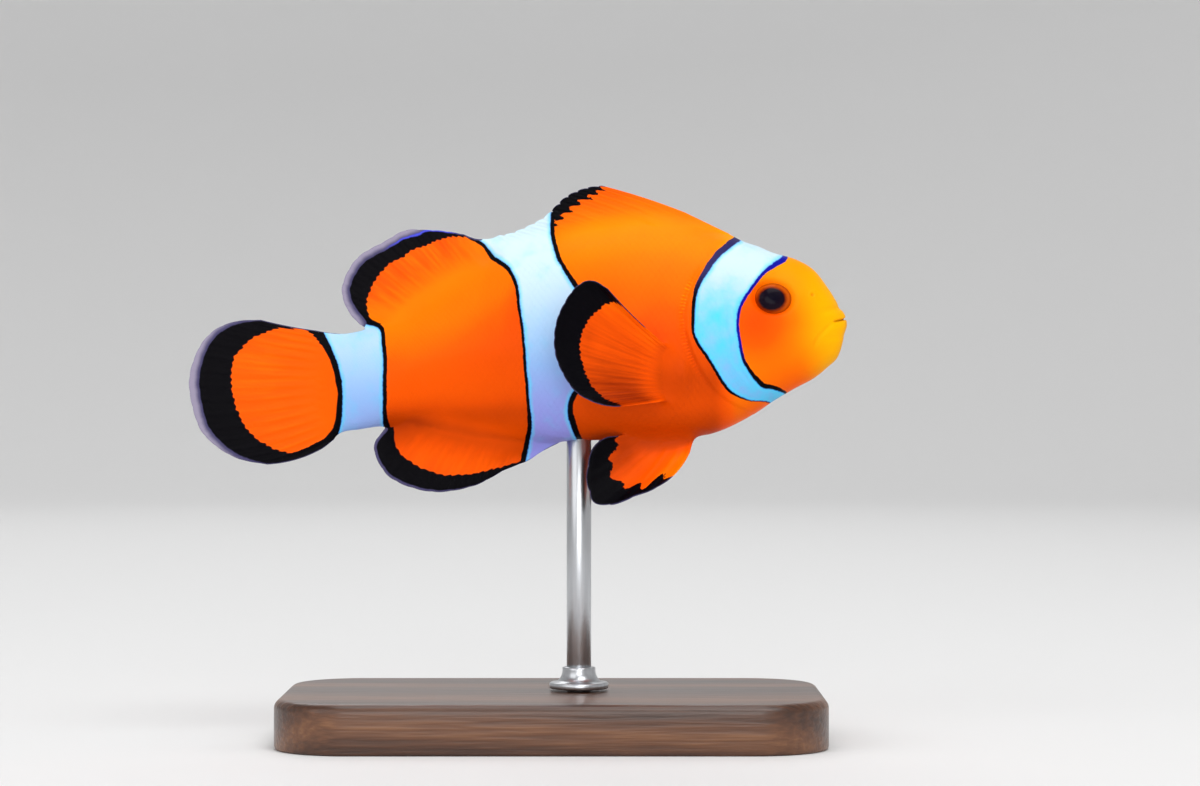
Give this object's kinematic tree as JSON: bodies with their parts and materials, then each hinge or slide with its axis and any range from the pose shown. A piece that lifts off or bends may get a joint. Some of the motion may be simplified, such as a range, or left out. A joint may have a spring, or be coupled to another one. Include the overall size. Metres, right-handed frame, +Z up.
{
  "type": "clownfish display model",
  "caption": "Life-size still clownfish, orange with black-edged white bars, swimming level with spread fins, held over a flat base by one rod.",
  "frame": {"origin": "on the surface that the base stands on, under the middle of the fish's length", "axes": "+X towards the snout, +Z up, +Y towards the fish's left side"},
  "size_m": [0.0799, 0.038, 0.0676],
  "materials": {
    "skin": "moist fish skin, satin to glossy: saturated orange with three white bars edged in black, and black fin margins",
    "eye": "wet and glossy: near-black pupil in a narrow brown-orange iris",
    "stand_wood": "dark walnut, satin lacquer",
    "stand_steel": "satin brushed stainless steel"
  },
  "bodies": {
    "root": {"head": "skin", "lower_jaw": "skin", "gill_cover_left": "skin", "gill_cover_right": "skin", "trunk": "skin", "tail_stalk": "skin", "dorsal_fin_front": "skin", "dorsal_fin_rear": "skin", "anal_fin": "skin", "tail_fin": "skin", "pectoral_fin_left": "skin", "pectoral_fin_right": "skin", "pelvic_fin_left": "skin", "pelvic_fin_right": "skin", "eye_left": "eye", "eye_right": "eye", "stand_base": "stand_wood", "stand_rod": "stand_steel", "stand_collar": "stand_steel"}
  },
  "joints": []
}
